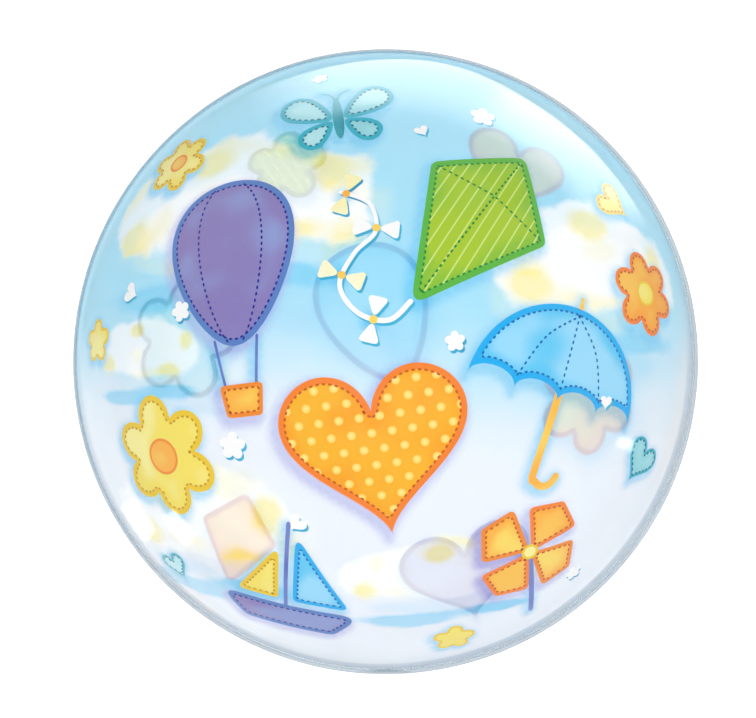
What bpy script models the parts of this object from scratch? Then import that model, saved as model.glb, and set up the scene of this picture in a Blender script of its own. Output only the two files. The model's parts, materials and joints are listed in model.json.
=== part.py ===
"""Bubble balloon, 22 inches across, lying on its back with the printed front facing up.

Two round films are welded face to face along a narrow seam and filled until they are a ball.
The seam is level, half way up the ball, and a flat filling tail hangs from it at -Y.
The ball rests on a small flat spot, whose centre is the origin. Metres, +Z up.
"""
import math

import bmesh
import bpy

# The ball
BALL_RADIUS = 0.277
FLAT_SPOT_RADIUS = 0.040

# The welded seam round the ball's middle
SEAM_WIDTH = 0.003
SEAM_THICKNESS = 0.0008

# The filling tail, from the middle of the seam down to its tip
TAIL_LENGTH = 0.068
TAIL_WIDTH = 0.030
TAIL_THICKNESS = 0.0008
TAIL_FLARE_RADIUS = 0.010
TAIL_TIP_RADIUS = 0.004
TAIL_CLEARANCE = 0.0008  # between the ball's widest circle and the tail's inner face

# How finely the round shapes are cut into facets
FACETS_ROUND_BALL = 72
FACETS_TOP_TO_SEAM = 18
FACETS_PER_CORNER = 6

MERGE_DISTANCE = 0.00001
SHARP_ANGLE = math.radians(30)
FILM_COLOUR = (0.62, 0.79, 0.90, 1.0)
FILM_ROUGHNESS = 0.12

# The ball's centre stands over the origin, so that the flat spot lies at zero height
CENTRE_HEIGHT = math.sqrt(BALL_RADIUS ** 2 - FLAT_SPOT_RADIUS ** 2)


def clear_scene():
    for old in list(bpy.data.objects):
        bpy.data.objects.remove(old, do_unlink=True)


def collection(name):
    made = bpy.data.collections.new(name)
    bpy.context.scene.collection.children.link(made)
    return made


def film_material():
    made = bpy.data.materials.new("clear_printed_film")
    made.use_nodes = True
    shader = made.node_tree.nodes["Principled BSDF"]
    shader.inputs["Base Color"].default_value = FILM_COLOUR
    shader.inputs["Roughness"].default_value = FILM_ROUGHNESS
    shader.inputs["Metallic"].default_value = 0.0
    return made


def arc(centre_x, centre_y, radius, start, end, steps):
    """Points on a circle, from the start angle to the end angle."""
    turns = [start + (end - start) * step / steps for step in range(steps + 1)]
    return [(centre_x + radius * math.cos(a), centre_y + radius * math.sin(a)) for a in turns]


def ball_profile():
    """Half of the ball's section: top of the ball, seam, lower ball, edge of the flat spot, origin."""
    half_seam = SEAM_THICKNESS / 2
    seam_angle = math.asin(half_seam / BALL_RADIUS)
    flat_angle = math.asin(CENTRE_HEIGHT / BALL_RADIUS)
    seam_edge = BALL_RADIUS + SEAM_WIDTH
    upper = arc(0, CENTRE_HEIGHT, BALL_RADIUS, math.pi / 2, seam_angle, FACETS_TOP_TO_SEAM)
    lower = arc(0, CENTRE_HEIGHT, BALL_RADIUS, -seam_angle, -flat_angle, FACETS_TOP_TO_SEAM)
    rim = [(seam_edge, CENTRE_HEIGHT + half_seam), (seam_edge, CENTRE_HEIGHT - half_seam)]
    return [(0, CENTRE_HEIGHT + BALL_RADIUS)] + upper[1:] + rim + lower[:-1] + [(FLAT_SPOT_RADIUS, 0), (0, 0)]


def turned_ball(target):
    """The ball and its seam, turned about the upright axis."""
    points = [(x, 0, z) for x, z in ball_profile()]
    edges = [(n, n + 1) for n in range(len(points) - 1)]
    mesh = bpy.data.meshes.new("ball_section")
    mesh.from_pydata(points, edges, [])
    ball = bpy.data.objects.new("balloon", mesh)
    target.objects.link(ball)
    turn = ball.modifiers.new("turn", "SCREW")
    turn.axis = "Z"
    turn.angle = math.tau
    turn.steps = FACETS_ROUND_BALL
    turn.render_steps = FACETS_ROUND_BALL
    turn.use_merge_vertices = True
    turn.merge_threshold = MERGE_DISTANCE
    turn.use_smooth_shade = True
    return ball


def tail_outline():
    """The tail's outline seen from the front, x across and y up, with its top at zero height."""
    half_width = TAIL_WIDTH / 2
    flare = TAIL_FLARE_RADIUS
    tip = TAIL_TIP_RADIUS
    right = arc(half_width + flare, -flare, flare, math.pi / 2, math.pi, FACETS_PER_CORNER)
    right += arc(half_width - tip, tip - TAIL_LENGTH, tip, 0, -math.pi / 2, FACETS_PER_CORNER)
    left = [(-x, y) for x, y in reversed(right)]
    return right + left


def tail_plate(target):
    """The flat tail, upright, a clearance outside the ball, with its top inside the seam's thickness."""
    curve = bpy.data.curves.new("tail_outline", "CURVE")
    curve.dimensions = "2D"
    curve.fill_mode = "BOTH"
    curve.extrude = TAIL_THICKNESS / 2
    outline = tail_outline()
    spline = curve.splines.new("POLY")
    spline.points.add(len(outline) - 1)
    for point, (x, y) in zip(spline.points, outline):
        point.co = (x, y, 0, 1)
    spline.use_cyclic_u = True
    drawn = bpy.data.objects.new("tail_drawn", curve)
    drawn.location = (0, -(BALL_RADIUS + TAIL_CLEARANCE + TAIL_THICKNESS / 2), CENTRE_HEIGHT)
    drawn.rotation_euler = (math.pi / 2, 0, 0)
    target.objects.link(drawn)
    plate = bpy.data.objects.new("tail_plate", solid_mesh(drawn))
    plate.matrix_world = drawn.matrix_world
    target.objects.link(plate)
    bpy.data.objects.remove(drawn, do_unlink=True)
    plate.hide_render = True
    plate.display_type = "WIRE"
    return plate


def solid_mesh(thing):
    """The evaluated mesh of a thing, with its doubled points welded."""
    bpy.context.view_layer.update()
    graph = bpy.context.evaluated_depsgraph_get()
    mesh = bpy.data.meshes.new_from_object(thing.evaluated_get(graph))
    work = bmesh.new()
    work.from_mesh(mesh)
    bmesh.ops.remove_doubles(work, verts=work.verts, dist=MERGE_DISTANCE)
    work.to_mesh(mesh)
    work.free()
    return mesh


def joined_balloon(ball, tail):
    """The films are one welded piece, so the tail is united with the ball."""
    weld = ball.modifiers.new("tail", "BOOLEAN")
    weld.operation = "UNION"
    weld.solver = "EXACT"
    weld.object = tail
    whole = solid_mesh(ball)
    ball.modifiers.clear()
    ball.data = whole
    whole.shade_smooth()
    whole.set_sharp_from_angle(angle=SHARP_ANGLE)
    whole.materials.clear()
    whole.materials.append(film_material())


def main():
    clear_scene()
    parts = collection("bubble_balloon")
    helpers = collection("joining_shapes")
    ball = turned_ball(parts)
    tail = tail_plate(helpers)
    joined_balloon(ball, tail)


main()
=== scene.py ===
"""Bubble balloon of clear film, printed with a pale sky and stitched patches, lying on its back.

Each operator makes one piece, or one group of like pieces, round the measured frame. Sizes are in metres.
"""
import json
import math

import bmesh
import bpy
import numpy as np
from bpy.props import FloatProperty, FloatVectorProperty, PointerProperty
from bpy.types import Operator, Panel, PropertyGroup
from mathutils import Matrix, Vector
from mathutils.geometry import delaunay_2d_cdt
from mathutils.kdtree import KDTree


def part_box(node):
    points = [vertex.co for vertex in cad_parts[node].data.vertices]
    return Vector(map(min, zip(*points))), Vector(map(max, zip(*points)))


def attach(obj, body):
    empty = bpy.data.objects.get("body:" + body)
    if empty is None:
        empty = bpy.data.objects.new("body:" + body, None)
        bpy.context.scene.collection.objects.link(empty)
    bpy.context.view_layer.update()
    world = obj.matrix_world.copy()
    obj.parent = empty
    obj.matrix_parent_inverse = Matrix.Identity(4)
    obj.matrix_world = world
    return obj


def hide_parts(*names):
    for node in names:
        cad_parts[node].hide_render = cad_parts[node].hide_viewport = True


bl_info = {
    "name": "Bubble Balloon",
    "version": (1, 0, 0),
    "blender": (4, 5, 0),
    "location": "View3D > Sidebar > Balloon",
    "description": "Makes a printed bubble balloon of clear film with its seam and filling tail",
    "category": "Add Mesh",
}

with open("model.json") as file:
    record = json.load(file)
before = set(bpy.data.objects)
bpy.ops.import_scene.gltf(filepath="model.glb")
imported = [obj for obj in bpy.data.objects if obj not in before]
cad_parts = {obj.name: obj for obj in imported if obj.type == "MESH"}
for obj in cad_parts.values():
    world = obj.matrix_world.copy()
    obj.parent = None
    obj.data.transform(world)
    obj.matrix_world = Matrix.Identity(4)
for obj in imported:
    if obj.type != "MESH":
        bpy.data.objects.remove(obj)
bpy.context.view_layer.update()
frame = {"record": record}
LOW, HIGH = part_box("balloon")

# Read from the frame
OUTER_RADIUS = (HIGH[0] - LOW[0]) / 2
BALL_TOP = HIGH[2]
TAIL_MOUNT = next(m for m in frame["record"]["mounts"] if m["name"] == "tail_face")
TAIL_PLANE = -TAIL_MOUNT["pos_m"][1]


def shade(code):
    """A colour written as six hex digits, as linear red, green and blue."""
    channels = [int(code[at:at + 2], 16) / 255 for at in (0, 2, 4)]
    return tuple(c / 12.92 if c <= 0.04045 else ((c + 0.055) / 1.055) ** 2.4 for c in channels)


def length(name, description, default):
    return FloatProperty(name=name, description=description, default=default, unit="LENGTH",
                         subtype="DISTANCE", precision=5, min=0.0)


def colour(name, description, code):
    return FloatVectorProperty(name=name, description=description, default=shade(code), size=3,
                               subtype="COLOR", min=0.0, max=1.0)


def number(name, description, default, unit="NONE"):
    return FloatProperty(name=name, description=description, default=default, unit=unit, min=0.0)


def turn(name, description, degrees):
    return FloatProperty(name=name, description=description, default=math.radians(degrees),
                         unit="ROTATION", subtype="ANGLE")


class FilmSizes(PropertyGroup):
    """Sizes of the ball of film, its seam and its tail."""

    seam_width: length("Seam width", "How far the weld stands out round the ball", 0.003)
    seam_thickness: length("Seam thickness", "Both films where they are welded", 0.0003)
    ripple_height: length("Seam ripple", "How far the weld waves up and down", 0.00035)
    pucker_height: length("Pucker depth", "How deep the film puckers beside the weld", 0.0004)
    pucker_reach: length("Pucker reach", "How far the puckers run up the film", 0.012)
    pucker_start: length("Pucker start", "How far from the weld the puckers are deepest", 0.004)
    print_edge: turn("Print edge", "Angle from the middle of the front to the edge of its print", 80.5)
    back_print_edge: turn("Back print edge", "Angle from the middle of the back to its print's edge", 86)
    tail_width: length("Tail width", "Width of the flat filling tail", 0.030)
    tail_length: length("Tail length", "From the seam to the tip of the tail", 0.068)
    tail_flare: length("Tail flare", "Radius where the tail spreads into the seam", 0.010)
    tail_thickness: length("Tail thickness", "Both films and the valve strips", 0.00035)


class PrintSizes(PropertyGroup):
    """Sizes of the edging, the running stitch and the patterns of the print."""

    edging: length("Edging", "Width of the darker edge round a patch", 0.0056)
    stitch_inset: length("Stitch inset", "From a patch's outline to its running stitch", 0.0059)
    stitch_length: length("Stitch length", "Length of one stitch", 0.0035)
    stitch_width: length("Stitch width", "Width of one stitch", 0.0020)
    stitch_pitch: length("Stitch pitch", "From one stitch to the next", 0.0055)
    dot_radius: length("Dot radius", "Radius of a polka dot", 0.0039)
    dot_pitch: length("Dot pitch", "From one polka dot to the next in its row", 0.0175)
    dot_rows: length("Dot rows", "From one row of polka dots to the next", 0.0140)
    stripe_pitch: length("Stripe pitch", "From one pinstripe to the next", 0.0098)
    ink_lift: length("Ink lift", "Height of a stitch above the film", 0.00012)


class InkColours(PropertyGroup):
    """Colours of the sky, the clouds, the soft shadows and the unprinted film."""

    sky: colour("Sky", "Upper sky", "9EDDF4")
    haze: colour("Haze", "Lower sky", "EBEFF7")
    billow: colour("Billow", "Clouds", "FFFFFF")
    glow: colour("Glow", "Warm tints of the clouds", "FFEC72")
    streak: colour("Streak", "Deeper sky under the clouds", "62C8F0")
    violet_shade: colour("Violet shade", "Soft shadow beside violet and orange patches", "9C96DC")
    cyan_shade: colour("Cyan shade", "Soft shadow beside the other patches", "4FBBEA")
    # The next colour is painted shade: grey-blue laid over the lower sky near the seam, where the film's
    # slanting rim looks darker
    rim_shade: colour("Border", "Haze at the edge of the print", "CAD6E2")
    clear: colour("Clear film", "Unprinted film", "C2D0DC")


class StageSettings(PropertyGroup):
    """The floor, the lamps and the camera."""

    camera_distance: length("Camera distance", "From the lens to the middle of the ball", 4.2)
    camera_lean: turn("Camera lean", "How far the camera leans off the upright", 3.2)
    camera_side: turn("Camera side", "Which side the camera leans to", -38)
    key_power: number("Key power", "Watts of the big soft lamp overhead", 44.0, "POWER")
    world_strength: number("World strength", "Light from all round", 0.95)


# How finely the film, the outlines and the rim are made. A lattice's rows are a share of its step apart
SURFACE_STEP = 0.0055
BACK_SURFACE_STEP = SURFACE_STEP * 1.3
LATTICE_ROW = 0.866
OUTLINE_STEP = 0.0014
RIBBON_STEP = 0.003
CURVE_STEPS = 16
ROUND_STEPS = 720
RIM_ROWS = 14
MERGE_DISTANCE = 2e-5

# How far the print's soft tones and shadows reach, and where the painted shade near its rim begins and is
# full
SOFT_REACH = 0.012
SHADOW_SHIFT = (-0.0035, -0.0050)
SHADOW_REACH = 0.0055
CAST_SHIFT = (0.0016, -0.0024)
RIM_SHADE_START = math.radians(75.3)
RIM_SHADE_END = math.radians(76.8)

# How much each kind of film hides of what is behind it, and how strongly all film mirrors
GROUND_COVER = 0.70
FRONT_INK_COVER = 0.985
BACK_INK_COVER = 0.95
CLEAR_COVER = 0.48
SEAM_COVER = 0.55
TAIL_COVER = 0.5
FILM_IOR = 1.8

# Waves round the weld: how many, how strong in its ripple and in its puckers, and where they start
WAVES = ((64, 0.45, 1.0, 0.7), (101, 0.32, 0.7, 2.1), (39, 0.23, 0.5, 4.0))

# How far the weld's band reaches in under the film
SEAM_OVERLAP = 0.0006

# The tail: radius of its tip and of its bend at the seam, how far it waves and its gap to its plane
TAIL_TIP = 0.004
TAIL_BEND = 0.0012
TAIL_WAVE = 0.00045
TAIL_GAP = 0.0002

# Its weld lines: width beside its edges, how far out the valve's channel lies, and half its line's width
EDGE_WELD = 0.0035
CHANNEL_PLACE = 0.0062
CHANNEL_WELD = 0.0009

# The camera: the width of its sensor in millimetres, and the photograph's framing in pixels
SENSOR_WIDTH = 36.0
PICTURE_WIDTH = 756
OUTLINE_RADIUS = 312.8
MIDDLE_SHIFT = (-6.7, 2.0)

# The stage: its lamps, its dome, its floor and the steps along one of its cards
KEY_PLACE = (0.12, -0.2, 2.7)
KEY_TARGET = (0, 0, 0.3)
KEY_SIZE = 2.2
INNER_POWER = 1.4
INNER_SIZE = 0.12
DOME_RADIUS = 7.0
FLOOR_REACH = 6.0
FLOOR_DEPTH = 0.0008
CARD_STEPS = 96
WHITE = (1, 1, 1, 1)


def ball_radius():
    return OUTER_RADIUS - bpy.context.scene.balloon_film.seam_width


def ball_centre():
    return Vector((0.0, 0.0, BALL_TOP - ball_radius()))


def on_ball(points, side, lift=0.0):
    """Points of the flat print, in metres from its middle, laid on the front (1) or the back (-1).

    The back is flat where it lies on the floor.
    """
    radius = ball_radius()
    flat = np.asarray(points, float)
    out = np.hypot(flat[:, 0], flat[:, 1])
    angle = out / radius
    share = np.where(out > 1e-9, np.sin(angle) / np.maximum(out, 1e-9), 1 / radius) * (radius + lift)
    height = BALL_TOP - radius + side * (radius + lift) * np.cos(angle)
    across = flat[:, 0] * share * side
    return np.column_stack([across, flat[:, 1] * share, np.maximum(height, -lift if side < 0 else 0.0)])


def polar(out, degrees):
    """A place on the flat print: how far out from its middle, and which way."""
    angle = math.radians(degrees)
    return (out * math.cos(angle), out * math.sin(angle))


# Outlines, each a closed loop that runs anticlockwise


def round_turns(count):
    return np.linspace(0, math.tau, count, endpoint=False)


def even(points, step=OUTLINE_STEP, closed=True):
    """The same line with its points an even step apart."""
    line = np.array(list(points) + ([points[0]] if closed else []), float)
    run = np.concatenate([[0], np.cumsum(np.hypot(*np.diff(line, axis=0).T))])
    count = max(8, int(round(run[-1] / step)))
    at = np.linspace(0, run[-1], count + 1)[:-1 if closed else None]
    return np.column_stack([np.interp(at, run, line[:, 0]), np.interp(at, run, line[:, 1])])


def anticlockwise(points):
    line = np.asarray(points, float)
    after = np.roll(line, -1, 0)
    area = (line[:, 0] * after[:, 1] - after[:, 0] * line[:, 1]).sum()
    return line if area > 0 else line[::-1]


def placed(points, centre, degrees=0.0):
    angle = math.radians(degrees)
    line = np.asarray(points, float)
    across = line[:, 0] * math.cos(angle) - line[:, 1] * math.sin(angle)
    along = line[:, 0] * math.sin(angle) + line[:, 1] * math.cos(angle)
    return np.column_stack([across + centre[0], along + centre[1]])


def polygon(corners, radius):
    """A polygon with rounded corners."""
    shares = [step / 6 for step in range(7)]
    points = []
    for index, corner in enumerate(corners):
        here = Vector(corner)
        back = (Vector(corners[index - 1]) - here).normalized()
        on = (Vector(corners[(index + 1) % len(corners)]) - here).normalized()
        half = back.angle(on) / 2
        reach = radius / math.tan(half)
        start, end = here + back * reach, here + on * reach
        points += [tuple((1 - s) ** 2 * start + 2 * s * (1 - s) * here + s ** 2 * end) for s in shares]
    return points


def heart(width):
    turns = round_turns(160)
    across = 16 * np.sin(turns) ** 3
    up = 13 * np.cos(turns) - 5 * np.cos(2 * turns) - 2 * np.cos(3 * turns) - np.cos(4 * turns)
    return np.column_stack([across, up + 2]) * width / 32


def blossom(radius, petals=5, depth=0.36):
    """A flower shape with its first petal at the top; depth is how far in the gaps reach."""
    turns = round_turns(60 * petals)
    reach = radius * (1 - depth + depth * np.abs(np.cos(petals * (turns - math.pi / 2) / 2)) ** 0.8)
    return np.column_stack([reach * np.cos(turns), reach * np.sin(turns)])


def disc(radius, count=48):
    turns = round_turns(count)
    return np.column_stack([radius * np.cos(turns), radius * np.sin(turns)])


def teardrop(width, height, taper):
    """Round at the top and narrow at the bottom."""
    turns = round_turns(120)
    across = width / 2 * np.cos(turns) * (1 + taper * np.sin(turns)) / (1 + taper * 0.45)
    return np.column_stack([across, height / 2 * np.sin(turns)])


def canopy(width, height, scallops):
    """An umbrella's top: a dome above and a scalloped hem below."""
    half = width / 2
    dome = [(half * math.cos(a), height * math.sin(a)) for a in np.radians(np.linspace(0, 180, 60))]
    bay = width / scallops
    rise = np.radians(np.linspace(180, 0, 14))
    hem = []
    for index in range(scallops):
        middle = -half + bay * (index + 0.5)
        hem += [(middle + bay / 2 * math.cos(a), bay * 0.30 * math.sin(a)) for a in rise]
    return dome + hem[1:-1]


def ribbon(path, width_start, width_end=None):
    """A flat ribbon along a smooth path, with round ends."""
    line = even(smooth(path), RIBBON_STEP, closed=False)
    ahead = np.gradient(line, axis=0)
    ahead /= np.hypot(*ahead.T)[:, None]
    side = np.column_stack([-ahead[:, 1], ahead[:, 0]])
    half = np.linspace(width_start, width_end or width_start, len(line))[:, None] / 2
    spread = np.radians(np.linspace(-90, 90, 9)[1:-1, None])
    ends = [line[at] + half[at] * sign * (ahead[at] * np.cos(spread) + side[at] * np.sin(spread))
            for at, sign in ((-1, 1), (0, -1))]
    return np.concatenate([line - side * half, ends[0], (line + side * half)[::-1], ends[1]])


def smooth(path):
    """A smooth curve through the points of a path."""
    points = np.array([path[0]] + list(path) + [path[-1]], float)
    curve = []
    for index in range(1, len(points) - 2):
        a, b, c, d = points[index - 1:index + 3]
        for t in np.arange(CURVE_STEPS) / CURVE_STEPS:
            curve.append(0.5 * (2 * b + (c - a) * t + (2 * a - 5 * b + 4 * c - d) * t ** 2
                                + (3 * b - a - 3 * c + d) * t ** 3))
    curve.append(points[-2])
    return np.array(curve)


def inset(outline, distance):
    """The outline moved inwards. Points that would come closer to another stretch are left out."""
    ahead = np.roll(outline, -1, 0) - np.roll(outline, 1, 0)
    ahead /= np.maximum(np.hypot(*ahead.T), 1e-9)[:, None]
    moved = outline + np.column_stack([-ahead[:, 1], ahead[:, 0]]) * distance
    gaps = np.hypot(moved[:, None, 0] - outline[None, :, 0], moved[:, None, 1] - outline[None, :, 1])
    return moved[gaps.min(axis=1) >= distance * 0.97]


def inside(points, outline):
    """True for each point that the outline goes round."""
    points = np.asarray(points, float)
    found = np.zeros(len(points), bool)
    low, high = outline.min(0), outline.max(0)
    near = ((points >= low) & (points <= high)).all(axis=1)
    if not near.any():
        return found
    x, y = points[near, 0][:, None], points[near, 1][:, None]
    ax, ay = outline[:, 0][None], outline[:, 1][None]
    bx, by = np.roll(outline[:, 0], -1)[None], np.roll(outline[:, 1], -1)[None]
    crosses = (ay > y) != (by > y)
    slope = np.where(np.abs(by - ay) > 1e-12, by - ay, 1e-12)
    found[near] = ((x < (bx - ax) * (y - ay) / slope + ax) & crosses).sum(axis=1) % 2 == 1
    return found


# The print: patches from the lowest to the topmost


class Patch:
    """One printed shape, with the ink it is printed in.

    edging scales the edge round it and is 0 for none. lines are further rows of stitches across it.
    """

    def __init__(self, outline, ink, edging=1.0, stitched=True, shaded="cyan", lines=()):
        sizes = bpy.context.scene.balloon_print
        self.outline = anticlockwise(even(outline))
        self.ink = ink
        self.shaded = shaded
        self.edging = edging
        self.body = inset(self.outline, sizes.edging * edging) if edging else None
        self.seam = inset(self.outline, sizes.stitch_inset * edging) if stitched and edging else None
        self.lines = lines


class Sheet:
    """Patches laid one over another, from the lowest to the topmost."""

    def __init__(self):
        self.patches = []

    def add(self, points, centre, degrees, ink, lines=(), **how):
        turned = [placed(line, centre, degrees) for line in lines]
        self.patches.append(Patch(placed(points, centre, degrees), ink, lines=turned, **how))

    def add_plain(self, points, centre, degrees, ink):
        """A shape of one ink, without edging or stitches."""
        self.add(points, centre, degrees, ink, edging=0, stitched=False)

    def add_white(self, points, centre, degrees, ink="white"):
        """A plain light shape over a thin crisp cyan shadow."""
        self.add_plain(points, np.add(centre, CAST_SHIFT), degrees, "cast")
        self.add_plain(points, centre, degrees, ink)


def kite(sheet, centre, degrees, long, wide):
    """A pinstriped kite with stitched spars and a white tail with bows."""
    top, side, foot = (0, long * 0.42), wide / 2, (0, -long * 0.58)
    start = placed([foot], centre, degrees)[0]
    sweep = [(0.000, 0.004), (-0.018, -0.012), (-0.044, -0.006), (-0.060, 0.018), (-0.048, 0.046),
             (-0.030, 0.066), (-0.036, 0.092), (-0.062, 0.104)]
    path = [(start[0] + x, start[1] + y) for x, y in sweep]
    sheet.add_white(ribbon(path, 0.0046, 0.0034), (0, 0), 0)
    line = smooth(path)
    loop = polygon([(0.001, 0), (0.020, 0.010), (0.020, -0.010)], 0.0035)
    for share, ink in ((0.22, "white"), (0.48, "bow"), (0.74, "white"), (0.97, "bow")):
        at = int(share * (len(line) - 1))
        ahead = line[min(at + 1, len(line) - 1)] - line[max(at - 1, 0)]
        way = math.degrees(math.atan2(ahead[1], ahead[0])) + 90
        for turned in (0, 180):
            sheet.add_white(loop, line[at], way + turned, ink)
        sheet.add_plain(disc(0.0036), line[at], 0, "amber")
    spars = [[(-side + 0.008, 0.012), (0, 0.020), (side - 0.008, 0.012)],
             [(0, top[1] - 0.012), (0, foot[1] + 0.016)]]
    outline = polygon([top, (-side, 0.012), foot, (side, 0.012)], 0.009)
    sheet.add(outline, centre, degrees, "lime", lines=spars)


def air_balloon(sheet, centre, degrees, wide, tall):
    """A striped hot-air balloon with its basket."""
    mouth, basket = -tall * 0.46, -tall * 0.80
    for side in (-1, 1):
        rope = [(side * wide * 0.15, mouth), (side * wide * 0.11, basket + 0.014)]
        sheet.add_plain(ribbon(rope, 0.0026), centre, degrees, "rope")
    low, high = basket - 0.015, basket + 0.014
    box = [(-0.017, low), (0.017, low), (0.021, high), (-0.021, high)]
    sheet.add(polygon(box, 0.005), centre, degrees, "amber", edging=0.7, shaded="violet")
    turns = np.linspace(1.15, -1.2, 30)
    swell = np.cos(turns) * (1 + 0.30 * np.sin(turns)) * wide / 2
    gores = [np.column_stack([share * swell, tall / 2 * np.sin(turns)]) for share in (-0.45, 0.45)]
    sheet.add(teardrop(wide, tall, 0.30), centre, degrees, "violet", shaded="violet", lines=gores)


def umbrella(sheet, centre, degrees, wide):
    """An umbrella with stitched ribs and a hooked handle."""
    hook = [(0, 0.02), (0, -wide * 0.38), (0.004, -wide * 0.43), (0.012, -wide * 0.45),
            (0.020, -wide * 0.43), (0.024, -wide * 0.38)]
    sheet.add_plain(ribbon(hook, 0.0075), centre, degrees, "amber")
    sheet.add_plain(ribbon([(0, wide * 0.48), (0, wide * 0.56)], 0.006, 0.003), centre, degrees, "amber")
    ribs = [[(0, wide * 0.46), (foot * 0.62, wide * 0.30), (foot, 0.012)]
            for foot in (-wide / 4, 0, wide / 4)]
    sheet.add(canopy(wide, wide * 0.5, 4), centre, degrees, "sky_blue", lines=[smooth(rib) for rib in ribs])


def butterfly(sheet, centre, degrees, wide):
    """A butterfly with two pairs of wings and feelers."""
    for side in (-1, 1):
        feeler = [(0, wide * 0.20), (side * wide * 0.05, wide * 0.30), (side * wide * 0.12, wide * 0.34)]
        sheet.add_plain(ribbon(feeler, 0.0022), centre, degrees, "teal_deep")
        for x, y, across, tall, way in ((0.185, -0.16, 0.26, 0.34, 130), (0.255, 0.13, 0.35, 0.50, 54)):
            wing = teardrop(wide * across, wide * tall, 0.40)
            wing = placed(wing, (side * wide * x, wide * y), -side * way)
            sheet.add(wing, centre, degrees, "teal", edging=0.9)
    sheet.add_plain(teardrop(wide * 0.085, wide * 0.50, -0.1), centre, degrees, "teal_deep")


def flower(sheet, centre, radius, ink, heart_ink, edging):
    sheet.add(blossom(radius, 6, 0.34), centre, 12, ink, edging=edging)
    sheet.add(disc(radius * 0.30), centre, 0, heart_ink, edging=0.45, stitched=False)


def pinwheel(sheet, centre, radius):
    """A pinwheel of four folded blades on a stick."""
    sheet.add_plain(ribbon([(0, 0), (radius * 0.32, -radius * 1.6)], 0.006), centre, 0, "rope")
    corners = [(0.001, 0), (radius, 0.004), (radius * 0.86, radius * 0.72), (radius * 0.2, radius * 0.9)]
    for blade in range(4):
        ink = "amber" if blade % 2 else "orange_plain"
        sheet.add(polygon(corners, 0.006), centre, 90 * blade + 20, ink, edging=0.8, shaded="violet")
    sheet.add(disc(0.009), centre, 0, "yellow", edging=0.5, stitched=False)


def boat(sheet, centre, degrees, wide):
    """A sailing boat with two sails."""
    deck, keel = -0.16 * wide, -0.40 * wide
    sheet.add_plain(ribbon([(0, deck), (0, 0.50 * wide)], 0.0042), centre, degrees, "rope")
    low = deck + 0.05 * wide
    for ink, sail in (("sky_blue", [(0.05 * wide, low), (0.44 * wide, low), (0.05 * wide, 0.44 * wide)]),
                      ("yellow", [(-0.05 * wide, low), (-0.05 * wide, 0.34 * wide), (-0.36 * wide, low)])):
        sheet.add(polygon(sail, 0.006), centre, degrees, ink, edging=0.8)
    hull = [(-0.50 * wide, deck), (-0.32 * wide, keel), (0.34 * wide, keel), (0.52 * wide, deck)]
    sheet.add(polygon(hull, 0.012), centre, degrees, "violet", shaded="violet")


def front_patches():
    """The print on the front."""
    sheet = Sheet()
    kite(sheet, polar(0.160, 52), -36, 0.190, 0.130)
    air_balloon(sheet, polar(0.152, 147), 7, 0.136, 0.158)
    umbrella(sheet, polar(0.172, -15), -17, 0.176)
    sheet.add(heart(0.164), polar(0.088, -86), 9, "orange", shaded="violet")
    butterfly(sheet, polar(0.232, 99), 10, 0.118)
    flower(sheet, polar(0.226, 206), 0.060, "yellow", "amber", 1.0)
    flower(sheet, polar(0.286, 13), 0.045, "orange_plain", "yellow", 0.8)
    flower(sheet, polar(0.292, 136), 0.038, "yellow", "amber", 0.8)
    pinwheel(sheet, polar(0.246, -52), 0.054)
    boat(sheet, polar(0.246, 249), -9, 0.150)

    # Small scattered shapes
    for out, way, ink, size in ((0.296, 33, "yellow", 0.046), (0.300, -22, "teal", 0.052),
                                (0.322, 226, "teal", 0.040)):
        sheet.add(heart(size), polar(out, way), way * 1.7, ink, edging=0.6)
    for out, way in ((0.300, 177), (0.320, -75)):
        sheet.add(blossom(0.024), polar(out, way), 0, "yellow", edging=0.6, stitched=False)
    for out, way, size in ((0.180, 168, 0.010), (0.262, 66, 0.013), (0.150, 214, 0.013),
                           (0.305, 102, 0.009), (0.318, -48, 0.010), (0.072, 6, 0.009)):
        sheet.add_white(blossom(size), polar(out, way), way)
    for out, way, size in ((0.250, 166, 0.020), (0.170, -114, 0.018), (0.215, 78, 0.014),
                           (0.226, -12, 0.014)):
        sheet.add_white(heart(size), polar(out, way), way * 0.4)
    return sheet.patches


def back_patches():
    """The plainer print on the back, as seen from behind."""
    sheet = Sheet()
    diamond = polygon([(0, 0.062), (-0.044, 0.012), (0, -0.068), (0.044, 0.012)], 0.01)
    for out, way, degrees, ink, points in (
        (0.225, 8, 10, "teal", blossom(0.066, 5, 0.34)),
        (0.235, 250, -14, "violet", heart(0.140)),
        (0.245, 122, 20, "orange_plain", heart(0.116)),
        (0.205, 188, 0, "amber", blossom(0.062, 6, 0.32)),
        (0.250, -48, 15, "orange_plain", diamond),
        (0.060, 70, -20, "sky_blue", teardrop(0.120, 0.140, 0.3)),
        (0.245, 62, 0, "lime", blossom(0.046)),
    ):
        sheet.add(points, polar(out, way), degrees, ink)
    for out, way, points in ((0.110, 255, heart(0.050)), (0.150, 150, blossom(0.020)),
                             (0.310, 152, heart(0.040))):
        sheet.add_plain(points, polar(out, way), 0, "white")
    return sheet.patches


# Clouds: middle on the print, half width and half height
CLOUDS = (
    (-0.150, 0.140, 0.140, 0.074), (0.215, 0.082, 0.104, 0.070), (-0.178, -0.168, 0.100, 0.070),
    (0.070, -0.215, 0.110, 0.046), (-0.225, 0.000, 0.070, 0.036),
)


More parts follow.
